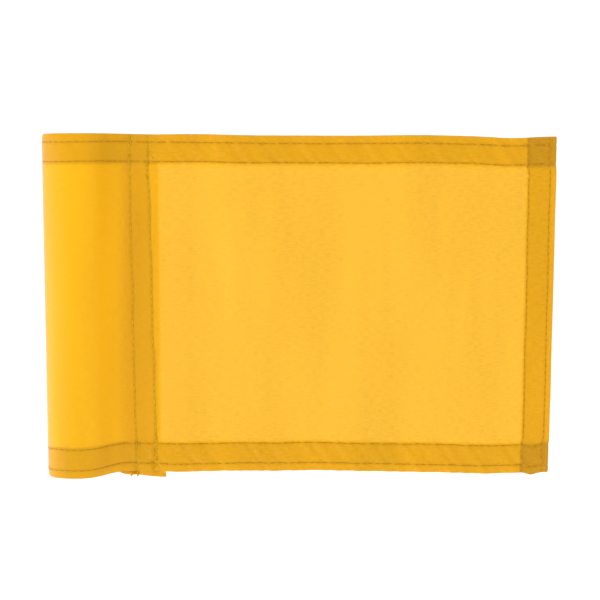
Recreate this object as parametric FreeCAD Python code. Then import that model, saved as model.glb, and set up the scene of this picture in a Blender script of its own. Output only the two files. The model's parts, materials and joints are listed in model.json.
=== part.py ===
"""Small tubed golf flag: a hemmed nylon flag whose hoist end is wrapped round a stiff plastic tube.

Millimetres. +Z runs up the tube, +X runs from the tube to the fly end, and the cloth lies across Y.
The front face looks along -Y; every hem and the lap of the sleeve are turned to the back, +Y.
The origin is the middle of the tube's bore. Cloth is modelled at its folded thickness.
"""

import FreeCAD, Part
import os
from math import acos, atan2, cos, hypot, sin

V = FreeCAD.Vector

# Finished flag
FLAG_HEIGHT = 152.4
FLY_END_X = 213.9
CLOTH = 0.3
HEM_WIDTH = 12.7
HEM_LAYERS = 3
FLY_HEM_PROUD = 0.4

# Tube that stiffens the sleeve and slides over the flagstick
TUBE_OD = 27.0
TUBE_BORE = 25.4
TUBE_END_SETBACK = 3.0
TUBE_EDGE_ROUND = 0.3

# Sleeve, and the lap seam that closes it: both sides of the sleeve lie together from SEAM_START_X on
SLEEVE_R = 14.7
SEAM_START_X = 18.5
LAP_END_X = 36.6
LAP_RISER = 0.6
LAP_DROP = 1.8

# Lines where the fly swings: at the lap's edge and across the middle of the panel
ROOT_GAP = 1.2
MID_BEND_X = 125.6
MID_GAP = 2.0

# Stitching: two rows along every hem and two rows down the seam
THREAD_WIDTH = 0.5
THREAD_PROUD = 0.2
ROW_FROM_EDGE = 2.7
ROW_FROM_FOLD = 0.6
SEAM_ROW_INNER_X = 25.0
SEAM_ROW_OUTER_X = 33.0
BACKTACK_SHIFT = 2.1
THREAD_END_INSET = 1.0
TAIL_RADIUS = 0.2
TAIL_LENGTH = 2.4

# Worked out from the sizes above
TOP = FLAG_HEIGHT / 2
HEM_FOLD_Z = TOP - HEM_WIDTH
FRONT_Y = -CLOTH / 2
CLOTH_BACK_Y = CLOTH / 2
HEM_THICK = HEM_LAYERS * CLOTH
HEM_BACK_Y = FRONT_Y + HEM_THICK
CORNER_BACK_Y = HEM_BACK_Y + HEM_THICK
FLY_FOLD_X = FLY_END_X - HEM_WIDTH
FLY_HEM_TOP = TOP + FLY_HEM_PROUD
OUTER_ROW_Z = TOP - ROW_FROM_EDGE
INNER_ROW_Z = HEM_FOLD_Z + ROW_FROM_FOLD
INNER_STRIP = (LAP_END_X + ROOT_GAP, MID_BEND_X - MID_GAP / 2)
OUTER_STRIP = (MID_BEND_X + MID_GAP / 2, FLY_FOLD_X)


def block(x0, x1, y0, y1, z0, z1):
    """A box between two corners."""
    return Part.makeBox(x1 - x0, y1 - y0, z1 - z0, V(x0, y0, z0))


def joined(solids):
    """Touching solids as one, with the seams between coplanar faces removed."""
    return solids[0].fuse(solids[1:]).removeSplitter()


def up_and_down(make):
    """The same thing at the top and at the bottom of the flag; make takes +1 or -1."""
    return {"top": make(1), "bottom": make(-1)}


def span(side, low, high):
    """A height range above the middle, or its mirror image below it."""
    return (low, high) if side > 0 else (-high, -low)


def tangent_point(radius, apex, turn):
    """Where the line from an apex touches a circle about the origin; turn picks the side."""
    angle = atan2(apex.y, apex.x) + turn * acos(radius / hypot(apex.x, apex.y))
    return V(radius * cos(angle), radius * sin(angle), 0)


def teardrop(radius, back_y):
    """Outline of the sleeve: round the tube, then straight from both sides into the seam."""
    front = V(SEAM_START_X, FRONT_Y, 0)
    back = V(SEAM_START_X, back_y, 0)
    touch_front = tangent_point(radius, front, -1)
    touch_back = tangent_point(radius, back, 1)
    return Part.Wire([
        Part.makeLine(front, touch_front),
        Part.Arc(touch_front, V(-radius, 0, 0), touch_back).toShape(),
        Part.makeLine(touch_back, back),
        Part.makeLine(back, front),
    ])


def sleeve_ring(thickness, back_y, z0, z1):
    """A length of sleeve wall, open through the middle."""
    outline = teardrop(SLEEVE_R, back_y)
    hollow = outline.makeOffset2D(-thickness)
    wall = Part.Face(outline).cut(Part.Face(hollow))
    ring = wall.extrude(V(0, 0, z1 - z0))
    ring.translate(V(0, 0, z0))
    return ring.Solids[0]


def tube_insert():
    """Thin plastic tube, a little shorter than the sleeve, with its rims rounded."""
    length = FLAG_HEIGHT - 2 * TUBE_END_SETBACK
    low = V(0, 0, -length / 2)
    tube = Part.makeCylinder(TUBE_OD / 2, length, low).cut(Part.makeCylinder(TUBE_BORE / 2, length, low))
    rims = [
        edge for edge in tube.Edges
        if isinstance(edge.Curve, Part.Circle) and round(edge.Curve.Radius, 3) == TUBE_OD / 2
    ]
    return tube.makeFillet(TUBE_EDGE_ROUND, rims)


def sleeve_cloth():
    """Single layer of cloth round the tube, between the two hems."""
    return sleeve_ring(CLOTH, HEM_BACK_Y, -HEM_FOLD_Z, HEM_FOLD_Z)


def sleeve_hem(side):
    """Hem of the sleeve, its extra layers turned to the inside."""
    return sleeve_ring(HEM_THICK, CORNER_BACK_Y, *span(side, HEM_FOLD_Z, TOP))


def seam_front_layer():
    """Front cloth through the seam, with the ends of its hems."""
    middle = block(SEAM_START_X, LAP_END_X, FRONT_Y, CLOTH_BACK_Y, -HEM_FOLD_Z, HEM_FOLD_Z)
    hems = [
        block(SEAM_START_X, LAP_END_X, FRONT_Y, HEM_BACK_Y, *span(side, HEM_FOLD_Z, TOP))
        for side in (1, -1)
    ]
    return joined([middle] + hems)


def lap_end():
    """Hoist end of the cloth behind the seam, raw edge turned under; its lower hem hangs a little low."""
    middle = block(SEAM_START_X, LAP_END_X, CLOTH_BACK_Y, HEM_BACK_Y, -HEM_FOLD_Z, HEM_FOLD_Z)
    riser_z = HEM_FOLD_Z - LAP_RISER
    upper = block(SEAM_START_X, LAP_END_X, HEM_BACK_Y, CORNER_BACK_Y, riser_z, TOP)
    lower = block(SEAM_START_X, LAP_END_X, HEM_BACK_Y, CORNER_BACK_Y, -TOP - LAP_DROP, -riser_z)
    return joined([middle, upper, lower])


def panel(strip):
    """Single layer of cloth between the top and bottom hems."""
    return block(*strip, FRONT_Y, CLOTH_BACK_Y, -HEM_FOLD_Z, HEM_FOLD_Z)


def panel_hem(strip, side):
    """Top or bottom hem along one strip of the fly."""
    return block(*strip, FRONT_Y, HEM_BACK_Y, *span(side, HEM_FOLD_Z, TOP))


def fly_hem():
    """Hem of the fly end, turned over the ends of the top and bottom hems."""
    middle = block(FLY_FOLD_X, FLY_END_X, FRONT_Y, HEM_BACK_Y, -HEM_FOLD_Z, HEM_FOLD_Z)
    corners = [
        block(FLY_FOLD_X, FLY_END_X, FRONT_Y, CORNER_BACK_Y, *span(side, HEM_FOLD_Z, FLY_HEM_TOP))
        for side in (1, -1)
    ]
    return joined([middle] + corners)


def row_along(x0, x1, z, back_y):
    """A level row of stitching on flat cloth: needle thread in front, bobbin thread behind."""
    low, high = z - THREAD_WIDTH / 2, z + THREAD_WIDTH / 2
    return Part.makeCompound([
        block(x0, x1, FRONT_Y - THREAD_PROUD, FRONT_Y, low, high),
        block(x0, x1, back_y, back_y + THREAD_PROUD, low, high),
    ])


def row_up(x, stretches):
    """An upright row of stitching; stretches lists (back face, lowest z, highest z) behind the cloth."""
    left, right = x - THREAD_WIDTH / 2, x + THREAD_WIDTH / 2
    low, high = min(s[1] for s in stretches), max(s[2] for s in stretches)
    front = block(left, right, FRONT_Y - THREAD_PROUD, FRONT_Y, low, high)
    return Part.makeCompound([front] + [
        block(left, right, back_y, back_y + THREAD_PROUD, z0, z1) for back_y, z0, z1 in stretches
    ])


def panel_row(strip, side, height):
    """One of the two rows along a panel hem, stopping short of the lines where the fly swings."""
    return row_along(strip[0] + THREAD_END_INSET, strip[1] - THREAD_END_INSET, side * height, HEM_BACK_Y)


def sleeve_row(side, height):
    """One of the two hem rows, carried round the outside of the sleeve and on across the seam."""
    low, high = side * height - THREAD_WIDTH / 2, side * height + THREAD_WIDTH / 2
    outline = teardrop(SLEEVE_R, CORNER_BACK_Y)
    thread = Part.Face(outline.makeOffset2D(THREAD_PROUD)).cut(Part.Face(outline))
    loop = thread.extrude(V(0, 0, THREAD_WIDTH))
    loop.translate(V(0, 0, low))
    seam_side = block(SEAM_START_X, LAP_END_X, -TUBE_OD, TUBE_OD, -FLAG_HEIGHT, FLAG_HEIGHT)
    crossing = block(SEAM_START_X, LAP_END_X, FRONT_Y - THREAD_PROUD, FRONT_Y, low, high)
    upright = [seam_row(x).Solids[0] for x in (SEAM_ROW_INNER_X, SEAM_ROW_OUTER_X)]
    upright += [backtack.Solids[0] for backtack in backtack_rows(side)]
    return Part.makeCompound(loop.cut(seam_side).Solids + crossing.cut(upright).Solids)


def seam_row(x):
    """A row down the lap seam, over the lap and across both hems."""
    riser_z = HEM_FOLD_Z - LAP_RISER
    return row_up(x, [
        (HEM_BACK_Y, -riser_z, riser_z),
        (CORNER_BACK_Y, riser_z, TOP),
        (CORNER_BACK_Y, -TOP, -riser_z),
    ])


def backtack_rows(side):
    """The two short rows sewn back beside the seam rows inside one hem."""
    stretch = (CORNER_BACK_Y, *span(side, HEM_FOLD_Z, TOP))
    return [row_up(x + BACKTACK_SHIFT, [stretch]) for x in (SEAM_ROW_INNER_X, SEAM_ROW_OUTER_X)]


def seam_backtack(side):
    """Stitches sewn back beside both seam rows, to lock their ends."""
    return Part.makeCompound([solid for row in backtack_rows(side) for solid in row.Solids])


def thread_tails():
    """Clipped thread ends left hanging under the seam rows."""
    y = FRONT_Y - THREAD_PROUD / 2
    ends = (SEAM_ROW_INNER_X, SEAM_ROW_INNER_X + BACKTACK_SHIFT, SEAM_ROW_OUTER_X + BACKTACK_SHIFT)
    return Part.makeCompound([
        Part.makeCylinder(TAIL_RADIUS, TAIL_LENGTH, V(x, y, -TOP - TAIL_LENGTH)) for x in ends
    ])


def fly_row(x):
    """A row down the fly hem."""
    return row_up(x, [
        (HEM_BACK_Y, -HEM_FOLD_Z, HEM_FOLD_Z),
        (CORNER_BACK_Y, HEM_FOLD_Z, TOP),
        (CORNER_BACK_Y, -TOP, -HEM_FOLD_Z),
    ])


def all_nodes():
    """Every piece by name."""
    nodes = {
        "tube_insert": tube_insert(),
        "sleeve_cloth": sleeve_cloth(),
        "seam_front_layer": seam_front_layer(),
        "lap_end": lap_end(),
        "seam_row_inner": seam_row(SEAM_ROW_INNER_X),
        "seam_row_outer": seam_row(SEAM_ROW_OUTER_X),
        "thread_tails": thread_tails(),
        "fly_hem": fly_hem(),
        "fly_hem_row_inner": fly_row(FLY_FOLD_X + ROW_FROM_FOLD),
        "fly_hem_row_outer": fly_row(FLY_END_X - ROW_FROM_EDGE),
    }
    for end, piece in up_and_down(sleeve_hem).items():
        nodes[f"sleeve_{end}_hem"] = piece
    for end, piece in up_and_down(seam_backtack).items():
        nodes[f"seam_backtack_{end}"] = piece
    for row, height in (("inner", INNER_ROW_Z), ("outer", OUTER_ROW_Z)):
        for end, piece in up_and_down(lambda side, h=height: sleeve_row(side, h)).items():
            nodes[f"sleeve_{end}_row_{row}"] = piece
    for name, strip in (("inner", INNER_STRIP), ("outer", OUTER_STRIP)):
        nodes[f"{name}_panel"] = panel(strip)
        for end, piece in up_and_down(lambda side, s=strip: panel_hem(s, side)).items():
            nodes[f"{name}_{end}_hem"] = piece
        for row, height in (("inner", INNER_ROW_Z), ("outer", OUTER_ROW_Z)):
            for end, piece in up_and_down(lambda side, s=strip, h=height: panel_row(s, side, h)).items():
                nodes[f"{name}_{end}_hem_row_{row}"] = piece
    return nodes


os.makedirs("parts", exist_ok=True)
for name, shape in all_nodes().items():
    shape.exportStep(f"parts/{name}.step")
    print(f"{name}: {len(shape.Solids)} solid(s), {shape.Volume:.2f} mm3, valid {shape.isValid()}")
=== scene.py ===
"""Looks of the tubed golf flag: one folded and stitched cut of nylon round a plastic tube.

The cloth is one rectangular cut. It is laid out by two lengths in millimetres: u runs along the
cloth from the hoist edge, round the tube and out to the fly edge, and w runs up the cloth. Both
ends of u and both ends of w are folded twice to the back, as they are sewn. Stitches lie on it.
"""

import json

import bpy
import numpy as np
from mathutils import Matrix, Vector


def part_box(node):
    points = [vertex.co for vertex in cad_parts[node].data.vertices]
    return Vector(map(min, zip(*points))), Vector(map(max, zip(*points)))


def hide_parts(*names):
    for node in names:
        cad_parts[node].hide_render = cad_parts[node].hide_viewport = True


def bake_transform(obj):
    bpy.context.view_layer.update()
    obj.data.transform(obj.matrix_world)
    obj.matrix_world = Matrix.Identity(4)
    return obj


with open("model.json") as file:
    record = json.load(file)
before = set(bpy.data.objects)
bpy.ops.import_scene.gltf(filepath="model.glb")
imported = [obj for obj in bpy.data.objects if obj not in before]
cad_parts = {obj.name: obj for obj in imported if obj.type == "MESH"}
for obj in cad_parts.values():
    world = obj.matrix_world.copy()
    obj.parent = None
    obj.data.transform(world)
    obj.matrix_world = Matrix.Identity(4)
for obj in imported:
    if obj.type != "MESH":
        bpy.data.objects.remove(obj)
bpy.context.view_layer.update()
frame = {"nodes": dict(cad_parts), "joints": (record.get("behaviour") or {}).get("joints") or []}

MM = 0.001
PLY = 0.3  # from one layer of cloth to the next
TURN_IN = 9.5  # cloth turned in under each hem
JOIN_X = 76.0  # where the hoist half and the fly half of the cloth meet
UV_MM = 100.0  # millimetres of cloth or thread to one unit of its UV map
ROW_INSET = 0.9  # the outer hem rows are sewn this much further in than their CAD strips


def mm(node):
    """The lowest and highest corner of a CAD node in millimetres."""
    return [np.array(corner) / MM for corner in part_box(node)]


def middle(node, axis):
    """The middle of a CAD node along an axis, in millimetres."""
    low, high = mm(node)
    return (low[axis] + high[axis]) / 2


hem_low, hem_high = mm("sleeve_top_hem")
TOP = hem_high[2]
FOLD_Z = hem_low[2]
RADIUS = -mm("sleeve_cloth")[0][0] - PLY / 2
LAP_X = mm("seam_front_layer")[1][0]
FLY_FOLD_X, FLY_X = (corner[0] for corner in mm("fly_hem"))
ROOT_X = mm("seam_front_layer")[0][0]
OUTER_ROW_Z = middle("sleeve_top_row_outer", 2) - ROW_INSET
INNER_ROW_Z = middle("sleeve_top_row_inner", 2)
SEAM_ROW_X = (middle("seam_row_inner", 0), middle("seam_row_outer", 0))
FLY_ROW_X = (middle("fly_hem_row_inner", 0), middle("fly_hem_row_outer", 0))
LAP_DROP = -TOP - mm("lap_end")[0][2]
PIVOT_X = {j["name"]: j["pos_m"][0] / MM for j in frame["joints"]}


def smooth(x, low, high):
    """0 below low, 1 above high, and a smooth step between them."""
    t = np.clip((x - low) / (high - low), 0, 1)
    return t * t * (3 - 2 * t)


def waves(x, lengths, seed):
    """A sum of sine waves with the given lengths, in uneven amounts, about -1 to 1."""
    rng = np.random.RandomState(seed)
    total = 0
    for length in lengths:
        total = total + rng.uniform(0.6, 1.0) * np.sin(2 * np.pi * (x / length + rng.uniform()))
    return total / len(lengths)


# The cloth's path, seen from above ------------------------------------------------------------

# Its sections in order: the lap's turned-in edge, the lap, round the tube, the front, the fly hem
(LAP_INNER, LAP_EDGE, LAP, TO_TUBE, ROUND_TUBE, FROM_TUBE,
 FRONT, FLY_EDGE, FLY_HEM, FOLD_EDGE, HEM_INNER) = SECTIONS = range(11)
FLAT_X = ROOT_X + 3.5  # from here on both sides of the sleeve lie flat
TOUCH = np.arccos(RADIUS / ROOT_X)  # the cloth leaves the tube at this angle, in front and behind
TOUCH_POINT = RADIUS * np.array([np.cos(TOUCH), np.sin(TOUCH)])
TOUCH_HEADING = np.array([-np.sin(TOUCH), np.cos(TOUCH)])
BRIDGE_TUBE, BRIDGE_ROOT = 6.0, 3.2  # how stiffly the cloth leaves the tube and comes into the seam
LAP_TURN_MORE = 1.5  # how much wider the lap's edge is turned in than the other hems


def stack(bulk):
    """How far behind the front cloth the outer and the turned-in layer of the lap and of the fly hem
    lie; bulk is 1 where the top or bottom hem runs between them."""
    outer = PLY * (2 + 6 * bulk)
    turned = PLY * (1 + 2 * bulk)
    return outer, turned


def bezier(points, t):
    """Point and heading on a cubic curve; points are four arrays."""
    a, b, c, d = points
    t = t[:, None]
    at = a * (1 - t) ** 3 + 3 * b * t * (1 - t) ** 2 + 3 * c * t * t * (1 - t) + d * t ** 3
    heading = (b - a) * (1 - t) ** 2 + 2 * (c - b) * t * (1 - t) + (d - c) * t * t
    return at, heading / np.linalg.norm(heading, axis=1)[:, None]


def columns(*parts):
    """Arrays or numbers side by side, as the columns of one array."""
    return np.stack(np.broadcast_arrays(*parts), axis=1).astype(float)


def line(x0, x1, y, t):
    """Point and heading on a straight run across the flag, from x0 to x1."""
    return columns(x0 + (x1 - x0) * t, y), columns(np.sign(x1 - x0) + 0 * t, 0)


def arc(x, y, radius, start, end, t):
    """Point and heading on an arc that turns to the left."""
    angle = start + (end - start) * t
    return (
        columns(x + radius * np.cos(angle), y + radius * np.sin(angle)),
        columns(-np.sin(angle), np.cos(angle)),
    )


def path_section(k, t, bulk):
    """Point and heading at share t of section k of the cloth's path."""
    outer, turned = stack(bulk)
    small = (outer - turned) / 2
    if k == LAP_INNER:
        return line(LAP_X - TURN_IN - LAP_TURN_MORE, LAP_X - small, turned, t)
    if k == LAP_EDGE:
        return arc(LAP_X - small, (outer + turned) / 2, small, -np.pi / 2, np.pi / 2, t)
    if k == LAP:
        return line(LAP_X - small, FLAT_X, outer, t)
    if k == TO_TUBE:
        flat = columns(FLAT_X + 0 * t, outer)
        touch = np.broadcast_to(TOUCH_POINT, flat.shape)
        return bezier((flat, flat - [BRIDGE_ROOT, 0], touch - BRIDGE_TUBE * TOUCH_HEADING, touch), t)
    if k == ROUND_TUBE:
        return arc(0, 0, RADIUS, TOUCH, 2 * np.pi - TOUCH, t)
    if k == FROM_TUBE:
        flat = columns(FLAT_X + 0 * t, 0)
        touch = np.broadcast_to(TOUCH_POINT * [1, -1], flat.shape)
        away = BRIDGE_TUBE * TOUCH_HEADING * [-1, 1]
        return bezier((touch, touch + away, flat - [BRIDGE_ROOT, 0], flat), t)
    if k == FRONT:
        return line(FLAT_X, FLY_X - outer / 2, 0, t)
    if k == FLY_EDGE:
        return arc(FLY_X - outer / 2, outer / 2, outer / 2, -np.pi / 2, np.pi / 2, t)
    if k == FLY_HEM:
        return line(FLY_X - outer / 2, FLY_FOLD_X + small, outer, t)
    if k == FOLD_EDGE:
        return arc(FLY_FOLD_X + small, (outer + turned) / 2, small, np.pi / 2, 3 * np.pi / 2, t)
    return line(FLY_FOLD_X + small, FLY_FOLD_X + TURN_IN, turned, t)


def section_length(k):
    """How long section k of the path is, in the middle of the flag's height."""
    at, _ = path_section(k, np.linspace(0, 1, 201), np.zeros(201))
    return np.linalg.norm(np.diff(at, axis=0), axis=1).sum()


U_ENDS = np.concatenate([[0], np.cumsum([section_length(k) for k in SECTIONS])])


def u_on(k, x):
    """The length along the cloth at x, on straight section k in the middle of the flag's height."""
    ends, _ = path_section(k, np.array([0.0, 1.0]), np.zeros(2))
    return U_ENDS[k] + (U_ENDS[k + 1] - U_ENDS[k]) * (x - ends[0][0]) / (ends[1][0] - ends[0][0])


def path(u, bulk):
    """Point, heading and section along the cloth at lengths u."""
    at, heading = np.zeros((len(u), 2)), np.zeros((len(u), 2))
    k_of = np.clip(np.searchsorted(U_ENDS, u, side="right") - 1, 0, len(U_ENDS) - 2)
    for k in SECTIONS:
        here = k_of == k
        if here.any():
            t = (u[here] - U_ENDS[k]) / (U_ENDS[k + 1] - U_ENDS[k])
            at[here], heading[here] = path_section(k, t, bulk[here])
    return at, heading, k_of


# The cloth's profile up its height ------------------------------------------------------------

# Its sections from the middle outwards: face, round the edge, hem, round its fold, turned in
ON_FACE, ON_EDGE, ON_HEM, ON_FOLD, ON_TURN_IN = range(5)
W_LENGTHS = [TOP - PLY, np.pi * PLY, TOP - PLY - FOLD_Z - PLY / 2, np.pi * PLY / 2, TURN_IN]
W_ENDS = np.concatenate([[0], np.cumsum(W_LENGTHS)])


def profile(w):
    """Height, how far the layer lies behind the front cloth, and the section, at lengths w up the
    cloth from its middle."""
    a = np.abs(w)
    k = np.clip(np.searchsorted(W_ENDS, a, side="right") - 1, ON_FACE, ON_TURN_IN)
    s = a - W_ENDS[k]
    fold, turn = s / PLY, s / (PLY / 2)
    here = [k == section for section in (ON_FACE, ON_EDGE, ON_HEM, ON_FOLD)]
    z = np.select(
        here,
        [a, TOP - PLY + PLY * np.sin(fold), TOP - PLY - s, FOLD_Z + PLY / 2 * (1 - np.sin(turn))],
        FOLD_Z + PLY / 2 + s,
    )
    behind = np.select(
        here,
        [0 * a, PLY * (1 - np.cos(fold)), 2 * PLY + 0 * a, PLY * 1.5 + PLY / 2 * np.cos(turn)],
        PLY,
    )
    return np.sign(w) * z, behind, k


def w_on_hem(z):
    """The length up the cloth where the hem behind the face is at height z."""
    return W_ENDS[ON_HEM] + TOP - PLY - z


# Where the rows of stitching run, each wandering a little ------------------------------------

ROW_WANDER = 0.22


def hem_row_height(x, height, side):
    """How far from the middle a hem row runs on the top (+1) or bottom (-1) side; x goes along the
    cloth."""
    return height + ROW_WANDER * waves(x + 13 * side, (57, 83, 29), 20 + int(height))


def leaning(x, lean, wobble, seed, hook=0.0):
    """An upright row's place across the flag, as a function of height; hook bends its lowest end
    aside."""
    return lambda z: (
        x - lean * z / TOP
        + wobble * waves(z, (23, 37, 61), seed)
        + hook * smooth(-z, FOLD_Z - 6, TOP - 3)
    )


# Both of the seam's rows lean towards the sleeve at the top, the outer one more
SEAM_ROWS = (
    leaning(SEAM_ROW_X[0] - 0.45, 0.85, 0.35, 31),
    leaning(SEAM_ROW_X[1] + 0.25, 1.4, 0.3, 32, -1.4),
)
FLY_ROWS = (leaning(FLY_ROW_X[0], 0.2, 0.25, 33), leaning(FLY_ROW_X[1], 0.1, 0.2, 34))
DENT_DEPTH, DENT_HALF = 0.13, 0.65  # how deep and how wide a row of stitches pulls the cloth in
EDGE_LEAN = 0.55  # how far the folded edge leans back from the outer row


def dent(distance):
    """How much a row of stitches pulls the cloth in at a distance from it, 1 on the row."""
    return np.exp(-((distance / DENT_HALF) ** 2))


def pull(u, x, z):
    """How much the rows near a point pull the cloth in; u is the length along the cloth there."""
    total = np.zeros(np.broadcast(x, z).shape)
    for height in (INNER_ROW_Z, OUTER_ROW_Z):
        total = total + dent(np.abs(z) - hem_row_height(u, height, np.sign(z)))
    for upright in SEAM_ROWS + FLY_ROWS:
        total = total + dent(x - upright(z)) * (x > ROOT_X)
    return np.minimum(total, 1.2)


def bump(x, places):
    """Soft bumps, each given as (middle, half width, height)."""
    return sum(height * np.exp(-(((x - at) / half) ** 2)) for at, half, height in places)


# The cut is not quite straight: where the top and the bottom edge stand high or low, as
# (place across the flag, half width, how far)
TOP_EDGE = ((20, 12, 0.5), (52, 16, 0.5), (152, 16, 0.4), (194, 12, -0.8))
BOTTOM_EDGE = ((-15, 6, -0.9), (44, 9, -0.5), (106, 20, 0.5), (181, 17, -0.8), (206, 3, -1.1))
# Where the slack panel stands out to the front, the last number as a share of RIDGE_HEIGHT
RIDGES = ((157, 13, 1.0), (86, 9, 0.4))
RIDGE_HEIGHT, RIDGE_Z, RIDGE_HALF_Z = 4.2, 24.0, 34.0  # and its middle and half width up the flag
SLACK, SLACK_CROSSED = 0.9, 0.35  # waves of the slack panel, upright and leaning
HEM_PUCKER, HEM_ROLL = 0.75, 0.5  # short slanting and long waves along the top and bottom hems
FLY_PUCKER, FLY_ROLL = 0.14, 0.2  # short and long waves along the fly hem
SEAM_PUCKER, SLEEVE_PUCKER = 0.13, 0.1  # beside the seam's rows, and round the rims of the sleeve
PINCH, PINCH_RIM = 0.4, 0.25  # how far the seam's rows draw the hems back, and the rim beside them
DRAG = 0.6  # the crease that the seam's top pulls into the sleeve
DEEPER_HEM = 1.0  # how much deeper the bottom hem is turned than the top one
LAP_FLARE = 2.2  # how far the lap's lowest corner stands out past its edge
LAP_SAG, FLARE_DROP = 0.4, 0.8  # how much lower the lap, and that corner, hang than the CAD's lap


def edge_wander(x, z):
    """How far the cloth stands above its straight cut, growing from the middle to the edges."""
    over = np.where(z > 0, bump(x, TOP_EDGE), bump(x, BOTTOM_EDGE))
    return over * smooth(np.abs(z), 0, TOP)


def unevenness(x, z):
    """How far the flat cloth stands back from its plane: slack panel, and puckers along the sewing."""
    side = np.sign(z)
    height = np.abs(z)
    inside = smooth(x, LAP_X - 2, LAP_X + 25) * (1 - smooth(x, FLY_FOLD_X - 25, FLY_FOLD_X))
    low = 1 - smooth(height, 25, FOLD_Z)
    slack = SLACK * waves(x + 0.15 * z, (88, 61, 43), 3)
    slack = slack + SLACK_CROSSED * waves(z + 0.3 * x, (70, 52), 4)
    slack = slack - RIDGE_HEIGHT * bump(x, RIDGES) * np.exp(-(((z - RIDGE_Z) / RIDGE_HALF_Z) ** 2))
    in_hem = smooth(height, FOLD_Z - 5, FOLD_Z + 2)
    in_fly = smooth(x, FLY_FOLD_X - 4, FLY_FOLD_X + 2)
    hem = HEM_PUCKER * waves(x + 0.8 * z + side * 37, (4.9, 7.3, 9.7, 14.0), 5)
    hem = hem + HEM_ROLL * waves(x + side * 11, (33, 51), 6)
    fly = FLY_PUCKER * waves(z, (4.6, 7.1, 10.9), 7) + FLY_ROLL * waves(z, (31, 47), 8)
    by_seam = sum(
        SEAM_PUCKER * waves(z + 9 * n, (3.3, 5.1, 8.3), 12 + n) * np.exp(-(((x - row(z)) / 2.5) ** 2))
        for n, row in enumerate(SEAM_ROWS)
    )
    near_fly = smooth(x, FLY_FOLD_X, FLY_X) * in_hem
    pinch = sum(
        PINCH * np.exp(-(((x - row(z)) / 1.1) ** 2)) - PINCH_RIM * np.exp(-(((x - row(z)) / 3.2) ** 2))
        for row in SEAM_ROWS
    )
    drag = DRAG * np.exp(-(((x - SEAM_ROW_X[0] + 4 - 0.8 * (FOLD_Z - z)) / 1.2) ** 2)) * np.exp(
        -(((z - FOLD_Z + 1.5) / 3.5) ** 2)
    )
    return (inside * low * slack + in_hem * hem * (1 - 0.6 * near_fly) + in_fly * fly * (1 - in_hem)
            + by_seam * (1 - 0.7 * in_hem) + in_hem * pinch * (x < LAP_X + 3) + drag)


def cloth(u, w, lift=0.0):
    """Points of the cloth, in millimetres; lift stands them off its face, to the outer side."""
    u, w = np.broadcast_arrays(np.asarray(u, float), np.asarray(w, float))
    shape, u, w = u.shape, u.ravel(), w.ravel()
    z, behind, w_part = profile(w)
    bulk = smooth(np.abs(z), FOLD_Z - 1.6, FOLD_Z - 0.1)
    at, heading, k_of = path(u, bulk)
    left = np.stack([-heading[:, 1], heading[:, 0]], axis=1)
    x = at[:, 0] + left[:, 0] * behind
    inwards = DENT_DEPTH * pull(u, x, z) * ((w_part == ON_FACE) * 1.0 - (w_part == ON_HEM))
    at = at + left * (behind + inwards - lift)[:, None]
    in_sleeve = (k_of >= TO_TUBE) & (k_of <= FROM_TUBE)
    flat = smooth(x, ROOT_X, FLAT_X + 3) * (~in_sleeve | (x > ROOT_X))
    edge_lean = EDGE_LEAN * smooth(np.abs(z), OUTER_ROW_Z, TOP + 1)
    at[:, 1] += flat * (unevenness(x, z) + edge_lean)
    along = np.arctan2(at[:, 1], at[:, 0]) * RADIUS
    ripple = SLEEVE_PUCKER * waves(along, (6.1, 9.3, 14.9), 9) * smooth(np.abs(z), FOLD_Z - 4, FOLD_Z + 3)
    at += (in_sleeve * (1 - flat) * (ripple - 0.5 * edge_lean))[:, None] * at / RADIUS
    lap_share = 1 - np.clip((u - U_ENDS[TO_TUBE]) / (U_ENDS[ROUND_TUBE] - U_ENDS[TO_TUBE]), 0, 1)
    flare = (k_of < TO_TUBE) * smooth(at[:, 0], LAP_X - 10, LAP_X) * smooth(-z, FOLD_Z - 3, TOP)
    at[:, 0] += LAP_FLARE * flare
    z = z - (LAP_DROP + LAP_SAG) * smooth(lap_share, 0, 1) * smooth(-z, TOP - 30, TOP - 6)
    z = z - FLARE_DROP * flare
    z = z + edge_wander(x, z) + DEEPER_HEM * np.exp(-(((z + FOLD_Z) / 7) ** 2))
    return np.stack([at[:, 0], at[:, 1], z], axis=1).reshape(*shape, 3)


# Meshes ---------------------------------------------------------------------------------------


def add_mesh(name, points, quads, uv):
    """A smooth mesh object from points in millimetres; uv is one pair per point, in millimetres."""
    mesh = bpy.data.meshes.new(name)
    mesh.from_pydata((points * MM).tolist(), [], quads.tolist())
    layer = mesh.uv_layers.new(name="cloth_mm")
    corners = np.zeros(len(mesh.loops), np.int32)
    mesh.loops.foreach_get("vertex_index", corners)
    layer.data.foreach_set("uv", (uv / UV_MM)[corners].astype(np.float32).ravel())
    mesh.polygons.foreach_set("use_smooth", [True] * len(mesh.polygons))
    mesh.update()
    obj = bpy.data.objects.new(name, mesh)
    bpy.context.scene.collection.objects.link(obj)
    return obj


def grid_quads(rows, cols):
    """The faces of a grid of points."""
    first = (np.arange(rows - 1)[:, None] * cols + np.arange(cols - 1)).ravel()
    return np.stack([first, first + 1, first + cols + 1, first + cols], axis=1)


FINE_STEP, FINE_HALF = 0.35, 1.6  # grid step near a row or an edge, and how far it reaches
ARC_STEPS = 6


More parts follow.
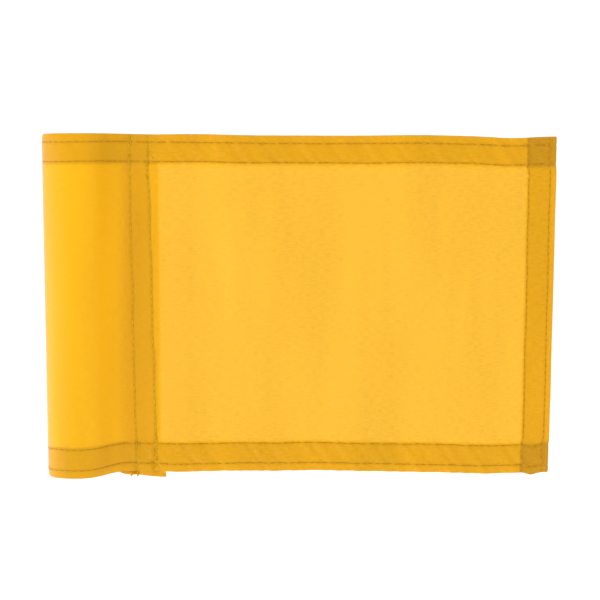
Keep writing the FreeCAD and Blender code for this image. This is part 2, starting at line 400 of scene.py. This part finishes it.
def spaced(ends, step, fine, arcs):
    """Grid lines over sections: even steps, finer ones near the places in fine, and sections in arcs
    cut into equal parts."""
    marks = []
    for k, (low, high) in enumerate(zip(ends, ends[1:])):
        if k in arcs:
            marks.append(np.linspace(low, high, ARC_STEPS + 1)[:-1])
            continue
        at, out = low, []
        while at < high - 1e-6:
            out.append(at)
            near = min(abs(at - place) for place in fine)
            at += FINE_STEP if near < FINE_HALF else step
        if len(out) > 1 and high - out[-1] < 0.4 * (out[-1] - out[-2]):
            out.pop()  # no sliver before the section's end
        marks.append(np.array(out))
    return np.concatenate(marks + [ends[-1:]])


def cloth_lines_u():
    """Where the mesh has a line across the length of the cloth."""
    fine = [u_on(FRONT, x) for x in (LAP_X, FLY_FOLD_X, FLY_X, *SEAM_ROW_X, *FLY_ROW_X)]
    fine += [u_on(LAP, x) for x in (LAP_X, *SEAM_ROW_X)]
    fine += [u_on(FLY_HEM, x) for x in (FLY_FOLD_X, *FLY_ROW_X)]
    return spaced(U_ENDS, 1.0, fine, (LAP_EDGE, FLY_EDGE, FOLD_EDGE))


def cloth_lines_w():
    """Where the mesh has a line along the cloth, from the bottom edge to the top one."""
    fine = [FOLD_Z, INNER_ROW_Z, OUTER_ROW_Z, TOP]
    fine += [w_on_hem(z) for z in (OUTER_ROW_Z, INNER_ROW_Z)]
    up = spaced(W_ENDS, 1.25, fine, (ON_EDGE, ON_FOLD))
    return np.concatenate([-up[:0:-1], up])


def layers_at(grid_u, x, z):
    """What the material asks about points of the cloth, each from 0 to about 1."""
    # The hem, seam and fly masks reach a little past their fold edges onto the single layer as a painted
    # shadow of those edges, and the seam's mask starts before the seam's root as painted shade where the
    # sleeve bends in to it
    in_hem = smooth(np.abs(z), FOLD_Z - 1.3, FOLD_Z - 0.1)
    in_seam = (1 - smooth(x, LAP_X, LAP_X + 0.25)) * smooth(x, ROOT_X - 2, ROOT_X + 4.5)
    in_seam = in_seam * (1 - 0.5 * smooth(x - SEAM_ROWS[1](z), 0.3, 1.2))
    in_fly = smooth(x, FLY_FOLD_X - 0.9, FLY_FOLD_X)
    return {
        "on_sleeve": 1 - smooth(x, LAP_X, LAP_X + 0.25),
        "in_hem": np.maximum(in_hem, np.maximum(in_seam, in_fly)),
        "in_corner": in_hem * (0.3 * in_seam + in_fly),
        # sewn also darkens the cloth along the stitch rows, as painted shade in the dents they pull in
        "sewn": pull(grid_u, x, z),
    }


def make_cloth():
    """The folded cut as two meshes that meet at JOIN_X, each with the lengths of its flat cut."""
    us, ws = cloth_lines_u(), cloth_lines_w()
    join = int(np.argmin(np.abs(us - u_on(FRONT, JOIN_X))))
    grid_u, grid_w = np.meshgrid(us, ws)
    points = cloth(grid_u, grid_w)
    facts = layers_at(grid_u, points[..., 0], profile(grid_w)[0])
    for k, (first, last) in enumerate(((0, join), (join, len(us) - 1))):
        cols = slice(first, last + 1)
        uv = np.stack([grid_u[:, cols], grid_w[:, cols]], axis=-1).reshape(-1, 2)
        obj = add_mesh(("hoist_cloth", "fly_cloth")[k], points[:, cols].reshape(-1, 3),
                       grid_quads(len(ws), last + 1 - first), uv)
        for name, values in facts.items():
            attribute = obj.data.attributes.new(name, "FLOAT", "POINT")
            attribute.data.foreach_set("value", values[:, cols].astype(np.float32).ravel())
        flat = ((us[last] - us[first]) * MM, (ws[-1] - ws[0]) * MM)
        yield obj, flat


(hoist_cloth, hoist_flat), (fly_cloth, fly_flat) = make_cloth()

# Stitches -------------------------------------------------------------------------------------

PITCH = 3.0
THREAD_R, SEAM_THREAD_R = 0.17, 0.25
# A stitch's rise and fall: height over the cloth, in thread radii, at shares of its length
STITCH_T = np.array([0.0, 0.06, 0.2, 0.5, 0.8, 0.94, 1.0])
STITCH_UP = np.array([-1.5, 0.0, 0.55, 0.7, 0.55, 0.0, -1.5])
SIDES = 6
SIDE_ANGLES = np.arange(SIDES) * 2 * np.pi / SIDES
ROUND_UV = np.arange(SIDES) / SIDES * UV_MM  # once round the thread is one unit of the UV map


def tube_quads(count, rings):
    """Faces of count separate tubes, each of the given number of rings of SIDES points."""
    start = np.arange(count)[:, None, None] * rings * SIDES
    ring = np.arange(rings - 1)[None, :, None] * SIDES
    first = np.arange(SIDES)[None, None, :]
    second = (first + 1) % SIDES
    low, high = start + ring, start + ring + SIDES
    return np.stack([low + first, low + second, high + second, high + first], axis=-1).reshape(-1, 4)


def stitches(holes, out, radius):
    """Tubes from each needle hole to the next. holes are points on the cloth, and out is the
    direction away from its face at each of them."""
    a, b = holes[:-1], holes[1:]
    ahead = (b - a) / np.linalg.norm(b - a, axis=1)[:, None]
    up = out[:-1] + out[1:]
    up -= (up * ahead).sum(1)[:, None] * ahead
    up /= np.linalg.norm(up, axis=1)[:, None]
    across = np.cross(ahead, up)
    t = STITCH_T[None, :, None]
    centre = a[:, None] * (1 - t) + b[:, None] * t + up[:, None] * (STITCH_UP * radius)[None, :, None]
    cosine, sine = np.cos(SIDE_ANGLES)[None, :, None], np.sin(SIDE_ANGLES)[None, :, None]
    ring = cosine * up[:, None] + sine * across[:, None]
    points = centre[:, :, None] + radius * ring[:, None]
    length = (np.arange(len(a))[:, None] + STITCH_T[None]) * PITCH
    uv = np.stack(np.broadcast_arrays(length[:, :, None], ROUND_UV[None, None]), axis=-1)
    return points.reshape(-1, 3), tube_quads(len(a), len(STITCH_T)), uv.reshape(-1, 2)


def face_out(u, w, side):
    """The direction away from the cloth's face (+1) or its back (-1)."""
    return side * (cloth(u, w, 0.5) - cloth(u, w, -0.5))


def spots(length, rng, pitch=PITCH):
    """Places of the needle holes along a row of the given length."""
    count = int(round(length / pitch))
    return (np.arange(count + 1) + rng.uniform(-0.07, 0.07, count + 1)) * length / count


def row(u, w, side, radius=THREAD_R):
    """Stitches through holes at (u, w) on the cloth's face (+1) or its back (-1)."""
    return [stitches(cloth(u, w), face_out(u, w, side), radius)]


def thread_piece(name, parts):
    """One object from the points, faces and UVs of several lengths of thread."""
    points, quads, uvs, count = [], [], [], 0
    for p, q, t in parts:
        points.append(p)
        quads.append(q + count)
        uvs.append(t)
        count += len(p)
    return add_mesh(name, np.concatenate(points), np.concatenate(quads), np.concatenate(uvs))


def hem_row(name, height, side, u0, u1, back_spans, seed):
    """A row along the top (+1) or bottom (-1) hem: needle thread on the cloth's face all the way,
    bobbin thread on the back of the hem over back_spans."""
    rng = np.random.RandomState(seed)
    us = u0 + spots(u1 - u0, rng)
    height = hem_row_height(us, height, side) + rng.uniform(-0.06, 0.06, len(us))
    parts = row(us, side * height, 1)
    w_back = side * w_on_hem(height)
    for low, high in back_spans:
        inside = (us >= low) & (us <= high)
        parts += row(us[inside], w_back[inside], -1)
    return thread_piece(name, parts)


def upright_row(back_section, x_of, seed, low, high, slant=0.0, pitch=PITCH, radius=THREAD_R):
    """A row from low to high: needle thread in front, bobbin thread on the back of the layers.
    slant sets the needle holes aside by turns."""
    rng = np.random.RandomState(seed)
    z = low + spots(high - low, rng, pitch)
    x = x_of(z) + slant * (-1.0) ** np.arange(len(z)) + rng.uniform(-0.1, 0.1, len(z))
    return row(u_on(FRONT, x), z, 1, radius) + row(u_on(back_section, x), z, 1, radius)


HOIST_BLEND = ("sleeve", "fly_inner")
FLY_BLEND = ("fly_inner", "fly_outer")
threads = []


def keep(obj, half, *nodes):
    """Lets a thread object stand for its CAD nodes, and notes which half of the flag it belongs to."""
    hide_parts(*nodes)
    threads.append((obj, half))


u_join = u_on(FRONT, JOIN_X)
inside_sleeve = (U_ENDS[ROUND_TUBE], U_ENDS[FROM_TUBE])
for side, end in ((1, "top"), (-1, "bottom")):
    for which, height, seed in (("outer", OUTER_ROW_Z, 21), ("inner", INNER_ROW_Z, 22)):
        seed += 10 * side
        spans = (inside_sleeve, (u_on(FRONT, LAP_X + 0.5), u_join))
        piece = hem_row(f"hoist_{end}_stitches_{which}", height, side, U_ENDS[LAP], u_join, spans, seed)
        keep(piece, HOIST_BLEND, f"sleeve_{end}_row_{which}")
        spans = ((u_join, u_on(FRONT, FLY_FOLD_X - 0.5)),)
        piece = hem_row(f"fly_{end}_stitches_{which}", height, side, u_join, U_ENDS[FOLD_EDGE] - 0.3,
                        spans, seed + 1)
        keep(piece, FLY_BLEND, f"inner_{end}_hem_row_{which}", f"outer_{end}_hem_row_{which}")


seam_a, seam_b = SEAM_ROWS
for which, x_of, seed in (("inner", seam_a, 41), ("outer", seam_b, 42)):
    parts = upright_row(LAP, x_of, seed, 1 - TOP, TOP - 0.8, 0.2, PITCH, SEAM_THREAD_R)
    keep(thread_piece(f"seam_stitches_{which}", parts), HOIST_BLEND, f"seam_row_{which}")
# Sewn back to lock the ends: the row, how far aside of it the lock runs at its bottom and at its
# top, its slant and pitch, and its lowest and highest point
LOCKS = {
    "top": (
        (seam_a, 0.3, 0.9, 0.5, 2.0, FOLD_Z - 1, TOP - 3),
        (seam_b, -0.7, -0.2, 0.3, 2.2, FOLD_Z - 7, FOLD_Z + 3),
        (seam_b, 1.6, 0.9, 1.3, 1.3, FOLD_Z, TOP - 4),
    ),
    "bottom": (
        (seam_a, 1.4, 1.2, 0.2, 2.6, 1 - TOP, 2 - FOLD_Z),
        (seam_b, 2.2, 0.1, 0.3, 2.2, 1 - TOP, 7 - FOLD_Z),
        (seam_b, 1.1, 0.0, 0.5, 1.8, 2 - TOP, 5 - FOLD_Z),
    ),
}
for end, locks in LOCKS.items():
    parts = []
    if end == "top":  # two loose stitches that cross the rows in a flat V
        zs = TOP - np.array([1.9, 3.1, 1.7])
        xs = seam_a(zs) + np.array([-2.6, 0.2, 2.3])
        parts += row(u_on(FRONT, xs), zs, 1, SEAM_THREAD_R)
    for n, (x_of, shift, shift_top, slant, pitch, low, high) in enumerate(locks):
        beside = lambda z: x_of(z) + shift + (shift_top - shift) * (z - low) / (high - low)
        parts += upright_row(LAP, beside, 50 + n, low, high, slant, pitch, SEAM_THREAD_R)
    keep(thread_piece(f"seam_lock_stitches_{end}", parts), HOIST_BLEND, f"seam_backtack_{end}")

fly_a, fly_b = FLY_ROWS
for which, x_of, seed in (("inner", fly_a, 43), ("outer", fly_b, 44)):
    parts = upright_row(FLY_HEM, x_of, seed, 0.8 - TOP, TOP - 0.8)
    keep(thread_piece(f"fly_end_stitches_{which}", parts), FLY_BLEND, f"fly_hem_row_{which}")


TAIL_X = (SEAM_ROW_X[0] - 2.4, SEAM_ROW_X[0] + 0.7, LAP_X + 1.6)
TAIL_Y = 0.9
TAIL_THICK = np.array([0.9, 1.0, 1.4, 1.9, 2.0, 1.8, 1.1])  # in thread radii, from the cloth down


def tail(x, y, seed):
    """A clipped, knotted thread end under the seam."""
    rng = np.random.RandomState(seed)
    rings = len(TAIL_THICK)
    z = -TOP - LAP_DROP + np.linspace(1.6, -0.9, rings)
    bend = np.cumsum(rng.uniform(-0.15, 0.2, rings))
    centre = np.stack([x + bend, y + 0.5 * bend, z], axis=1)
    radius = SEAM_THREAD_R * TAIL_THICK
    ring = np.stack([np.cos(SIDE_ANGLES), np.sin(SIDE_ANGLES), 0 * SIDE_ANGLES], axis=1)
    points = (centre[:, None] + radius[:, None, None] * ring[None]).reshape(-1, 3)
    return points, tube_quads(1, rings), np.stack([points[:, 2], np.tile(ROUND_UV, rings)], axis=1)


ends = [tail(x, TAIL_Y, 61 + n) for n, x in enumerate(TAIL_X)]
keep(thread_piece("seam_thread_ends", ends), HOIST_BLEND, "thread_tails")

# Materials ------------------------------------------------------------------------------------


class Nodes:
    """A short way to write a material's nodes."""

    def __init__(self, name):
        self.material = bpy.data.materials.new(name)
        self.material.use_nodes = True
        self.tree = self.material.node_tree
        self.tree.nodes.clear()
        self.output = self.add("OutputMaterial")

    def add(self, kind, **settings):
        """A new shader node of a kind, such as Math or Bump."""
        node = self.tree.nodes.new("ShaderNode" + kind)
        for key, value in settings.items():
            setattr(node, key, value)
        return node

    def link(self, source, target):
        self.tree.links.new(source, target)

    def put(self, value, target):
        """Links a socket, or sets a constant."""
        if isinstance(value, bpy.types.NodeSocket):
            self.link(value, target)
        else:
            target.default_value = value

    def math(self, operation, *values):
        node = self.add("Math", operation=operation)
        for value, target in zip(values, node.inputs):
            self.put(value, target)
        return node.outputs[0]

    def mix(self, factor, a, b, blend_type="MIX"):
        node = self.add("Mix", data_type="RGBA", blend_type=blend_type)
        for value, target in ((factor, node.inputs[0]), (a, node.inputs[6]), (b, node.inputs[7])):
            self.put(value, target)
        return node.outputs[2]

    def fact(self, name):
        """A number that the mesh holds at each of its points."""
        return self.add("Attribute", attribute_name=name).outputs["Fac"]

    def noise(self, vector, stretch, detail=2.0, roughness=0.5):
        """Noise with the given number of grains along each axis to one unit of the vector."""
        mapping = self.add("Mapping")
        self.link(vector, mapping.inputs["Vector"])
        mapping.inputs["Scale"].default_value = stretch
        node = self.add("TexNoise")
        self.link(mapping.outputs[0], node.inputs["Vector"])
        node.inputs["Scale"].default_value = 1.0
        node.inputs["Detail"].default_value = detail
        node.inputs["Roughness"].default_value = roughness
        return node.outputs["Fac"]

    def ramp(self, value, stops):
        """A colour that runs through stops, each given as (place, colour)."""
        node = self.add("ValToRGB")
        self.put(value, node.inputs[0])
        elements = node.color_ramp.elements
        while len(elements) < len(stops):
            elements.new(0.5)
        for element, (place, colour) in zip(elements, stops):
            element.position, element.color = place, (*colour, 1)
        return node.outputs[0]


# Base colours of one layer on the tube, one layer alone, the hems and the corners of the hems. They are
# one nylon in tones of painted light and shade: the layer on the tube is lifted as painted light for the
# back light that the tube keeps from it, the layer alone keeps a little blue as painted light through its
# weave, and the hems and corners are darkened, partly as the deeper colour of stacked cloth and partly as
# painted shade of the light their stacked plies hold back.
SLEEVE = (0.97, 0.503, 0.001)
PANEL = (0.84, 0.437, 0.026)
HEM = (0.812, 0.404, 0.001)
CORNER = (0.649, 0.307, 0.001)
YARN = 0.42  # mm from one yarn to the next


def nylon():
    """Woven nylon: yarns, slubs along both threads, broad shades, and light through the cloth."""
    m = Nodes("woven_nylon")
    uv = m.add("UVMap", uv_map="cloth_mm").outputs[0]
    split = m.add("SeparateXYZ")
    m.link(uv, split.inputs[0])
    turns = UV_MM * np.pi / YARN
    across = m.math("SINE", m.math("MULTIPLY", split.outputs[0], turns))
    along = m.math("SINE", m.math("MULTIPLY", split.outputs[1], turns))
    weave = m.math("MULTIPLY", across, along)
    weft = m.noise(uv, (34, 190, 1), 3.0, 0.7)
    warp = m.noise(uv, (190, 26, 1), 3.0, 0.7)
    slub = m.math("SUBTRACT", m.math("MULTIPLY_ADD", warp, 0.5, weft), 0.75)
    broad = m.noise(uv, (5.0, 0.8, 1), 2.0)

    # on_sleeve, in_hem and in_corner mix in those tones: painted light on the tube, painted shade in the
    # stacked hems and corners
    base = m.mix(m.fact("on_sleeve"), (*PANEL, 1), (*SLEEVE, 1))
    base = m.mix(m.fact("in_hem"), base, (*HEM, 1))
    base = m.mix(m.fact("in_corner"), base, (*CORNER, 1))
    streaks = m.math("MULTIPLY", slub, m.math("MULTIPLY_ADD", m.fact("on_sleeve"), -0.2, 0.5))
    grain = m.math("ADD", streaks, m.math("MULTIPLY", weave, 0.06))
    grain = m.math("ADD", grain, m.math("MULTIPLY", m.math("SUBTRACT", broad, 0.5), 0.28))
    # Darker along the stitch rows by sewn: painted shade in the dents the rows pull in
    shade = m.math("SUBTRACT", m.math("ADD", grain, 1.0), m.math("MULTIPLY", m.fact("sewn"), 0.07))
    grey = m.add("CombineColor")
    for channel in grey.inputs[:3]:
        m.link(shade, channel)
    colour = m.mix(1.0, base, grey.outputs[0], "MULTIPLY")

    bump = m.add("Bump")
    bump.inputs["Strength"].default_value = 0.25
    bump.inputs["Distance"].default_value = 0.0002
    relief = m.math("ADD", m.math("MULTIPLY", weave, 0.3), m.math("MULTIPLY", slub, 1.6))
    m.link(relief, bump.inputs["Height"])

    face = m.add("BsdfPrincipled")
    m.link(colour, face.inputs["Base Color"])
    m.link(m.math("ADD", m.math("MULTIPLY", slub, 0.2), 0.34), face.inputs["Roughness"])
    face.inputs["Specular IOR Level"].default_value = 0.22
    face.inputs["Sheen Weight"].default_value = 0.6
    face.inputs["Sheen Roughness"].default_value = 0.29
    face.inputs["Sheen Tint"].default_value = (1.0, 0.96, 0.9, 1)
    m.link(bump.outputs[0], face.inputs["Normal"])
    behind = m.add("BsdfTranslucent")
    m.link(colour, behind.inputs["Color"])
    m.link(bump.outputs[0], behind.inputs["Normal"])
    both = m.add("MixShader")
    both.inputs[0].default_value = 0.2
    m.link(face.outputs[0], both.inputs[1])
    m.link(behind.outputs[0], both.inputs[2])
    m.link(both.outputs[0], m.output.inputs["Surface"])
    return m.material


THREAD_TWIST = 0.55  # mm of thread to one full twist


def sewing_thread(name, dark, middle_tone, light):
    """Twisted thread, darker as painted shade where it goes down into its needle holes and in the grooves
    of its twist, and lighter as a painted highlight where each stitch stands raised.
    """
    m = Nodes(name)
    uv = m.add("UVMap", uv_map="cloth_mm").outputs[0]
    split = m.add("SeparateXYZ")
    m.link(uv, split.inputs[0])
    twist = m.math("ADD", m.math("MULTIPLY", split.outputs[0], UV_MM / THREAD_TWIST), split.outputs[1])
    ply = m.math("SINE", m.math("MULTIPLY", twist, 2 * np.pi * 2))
    mottle = m.noise(uv, (60, 3, 1), 2.0)
    hole = m.math("PINGPONG", m.math("MULTIPLY", split.outputs[0], UV_MM / PITCH), 0.5)
    raised = m.math("MULTIPLY", m.math("MINIMUM", hole, 0.3), 2.0)
    # The colour is painted shade where the thread dives into a hole and in its twist, and a painted
    # highlight where it stands raised; the noise varies it at random
    shade = m.math("ADD", m.math("MULTIPLY_ADD", ply, 0.1, raised), m.math("SUBTRACT", mottle, 0.5))
    colour = m.ramp(shade, ((0.1, dark), (0.5, middle_tone), (0.9, light)))
    bump = m.add("Bump")
    bump.inputs["Strength"].default_value = 0.5
    bump.inputs["Distance"].default_value = 0.00008
    m.link(ply, bump.inputs["Height"])
    face = m.add("BsdfPrincipled")
    m.link(colour, face.inputs["Base Color"])
    m.link(m.math("ADD", m.math("MULTIPLY", mottle, 0.25), 0.35), face.inputs["Roughness"])
    face.inputs["Specular IOR Level"].default_value = 0.2
    m.link(bump.outputs[0], face.inputs["Normal"])
    m.link(face.outputs[0], m.output.inputs["Surface"])
    return m.material


def tube_plastic():
    """Extruded plastic: faint lines along the tube and faint clouds."""
    m = Nodes("tube_plastic")
    place = m.add("TexCoord").outputs["Object"]
    lines = m.noise(place, (900, 900, 6), 3.0, 0.6)
    clouds = m.noise(place, (45, 45, 45), 3.0)
    colour = m.ramp(m.math("ADD", m.math("MULTIPLY", lines, 0.4), m.math("MULTIPLY", clouds, 0.6)),
                    ((0.3, (0.80, 0.79, 0.75)), (0.7, (0.90, 0.895, 0.87))))
    bump = m.add("Bump")
    bump.inputs["Strength"].default_value = 0.15
    bump.inputs["Distance"].default_value = 0.0001
    m.link(lines, bump.inputs["Height"])
    face = m.add("BsdfPrincipled")
    m.link(colour, face.inputs["Base Color"])
    m.link(m.math("ADD", m.math("MULTIPLY", clouds, 0.2), 0.3), face.inputs["Roughness"])
    m.link(bump.outputs[0], face.inputs["Normal"])
    m.link(face.outputs[0], m.output.inputs["Surface"])
    return m.material


cloth_material, plastic = nylon(), tube_plastic()
# Dark, middle and light tones of each thread: the dark one is painted shade at the needle holes, the
# light one a painted highlight on the raised stitches
HEM_TONES = ((0.34, 0.16, 0.001), (0.70, 0.335, 0.001), (0.85, 0.45, 0.004))
SEAM_TONES = ((0.66, 0.36, 0.001), (0.74, 0.41, 0.001), (0.95, 0.62, 0.02))
hem_thread = sewing_thread("hem_thread", *HEM_TONES)
seam_thread = sewing_thread("seam_thread", *SEAM_TONES)
for obj in (hoist_cloth, fly_cloth):
    obj.data.materials.append(cloth_material)
for obj, _ in threads:
    obj.data.materials.clear()
    obj.data.materials.append(seam_thread if obj.name.startswith("seam") else hem_thread)
tube = frame["nodes"]["tube_insert"]
tube.data.materials.clear()
tube.data.materials.append(plastic)

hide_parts("sleeve_cloth", "sleeve_top_hem", "sleeve_bottom_hem", "seam_front_layer",
            "lap_end")
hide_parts("fly_hem", *[f"{half}_{part}" for half in ("inner", "outer")
                                    for part in ("panel", "top_hem", "bottom_hem")])

# The hinge line of each pair of bodies and half the width of a band centred on it; each piece gets its
# transform baked into its mesh
ROOT_BEND, FOLD_BEND = 10.2, 28.0  # half the width of each band
BANDS = {
    HOIST_BLEND: (PIVOT_X["fly_swing"], ROOT_BEND),
    FLY_BLEND: (PIVOT_X["fly_fold"], FOLD_BEND),
}
for obj, bodies in [(hoist_cloth, HOIST_BLEND), (fly_cloth, FLY_BLEND)] + threads:
    centre, half = BANDS[bodies]
    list(bodies)
    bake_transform(obj)

# Floor, light and camera ----------------------------------------------------------------------

FLOOR_DROP = 0.3  # metres below the flag, which hangs free


def pale_floor():
    """A plain floor, wide enough to meet the pale world at the horizon."""
    bpy.ops.mesh.primitive_plane_add(size=60.0, location=(0, 0, -FLOOR_DROP))
    plane = bpy.context.object
    plane.name = "floor"
    m = Nodes("floor")
    face = m.add("BsdfPrincipled")
    face.inputs["Base Color"].default_value = (0.92, 0.92, 0.92, 1)
    face.inputs["Roughness"].default_value = 0.9
    face.inputs["Specular IOR Level"].default_value = 0.0
    face.inputs["Emission Color"].default_value = (1, 1, 1, 1)
    face.inputs["Emission Strength"].default_value = 0.25
    m.link(face.outputs[0], m.output.inputs["Surface"])
    plane.data.materials.append(m.material)


pale_floor()

# The world is white behind the flag and a little darker on the camera's side
world = bpy.data.worlds.new("studio")
bpy.context.scene.world = world
world.use_nodes = True
tree = world.node_tree
direction = tree.nodes.new("ShaderNodeTexCoord")
towards = tree.nodes.new("ShaderNodeVectorMath")
towards.operation = "DOT_PRODUCT"
towards.inputs[1].default_value = (-0.15, 0.98, 0.0)
tree.links.new(direction.outputs["Generated"], towards.inputs[0])
brightness = tree.nodes.new("ShaderNodeMapRange")
brightness.interpolation_type = "SMOOTHSTEP"
for socket, value in (("From Min", -0.4), ("From Max", 0.4), ("To Min", 0.74), ("To Max", 1.08)):
    brightness.inputs[socket].default_value = value
tree.links.new(towards.outputs["Value"], brightness.inputs["Value"])
tree.links.new(brightness.outputs[0], tree.nodes["Background"].inputs["Strength"])
tree.nodes["Background"].inputs["Color"].default_value = (1, 1, 1, 1)


def softbox(name, location, target, size, power):
    """A soft area light of the given width and height that faces target."""
    light = bpy.data.lights.new(name, "AREA")
    light.shape = "RECTANGLE"
    light.size, light.size_y = size
    light.energy = power
    obj = bpy.data.objects.new(name, light)
    obj.location = location
    obj.rotation_euler = (Vector(target) - Vector(location)).to_track_quat("-Z", "Y").to_euler()
    bpy.context.scene.collection.objects.link(obj)


# In metres and watts: one grazes the sleeve from its left, the other is in front and overhead
softbox("left_panel", (-0.76, -0.24, -0.08), (0.0, 0.0, -0.01), (1.40, 0.30), 2.8)
softbox("overhead", (0.20, -1.00, 1.10), (0.08, 0.0, 0.0), (1.60, 1.00), 6.2)

# The photograph's view: level with the flag's upper half, half a metre away and looking a little down
camera = bpy.data.objects.new("camera", bpy.data.cameras.new("camera"))
camera.data.sensor_width = 36.0
camera.data.lens = 67.0
camera.location = (0.100, -0.500, 0.0552)
camera.rotation_euler = (np.pi / 2 - 0.1044, -0.0034, 0.0005)
bpy.context.scene.collection.objects.link(camera)
bpy.context.scene.camera = camera

colours = bpy.context.scene.view_settings
colours.view_transform = "Standard"
colours.look = "None"
colours.exposure = 0.0
colours.gamma = 1.0
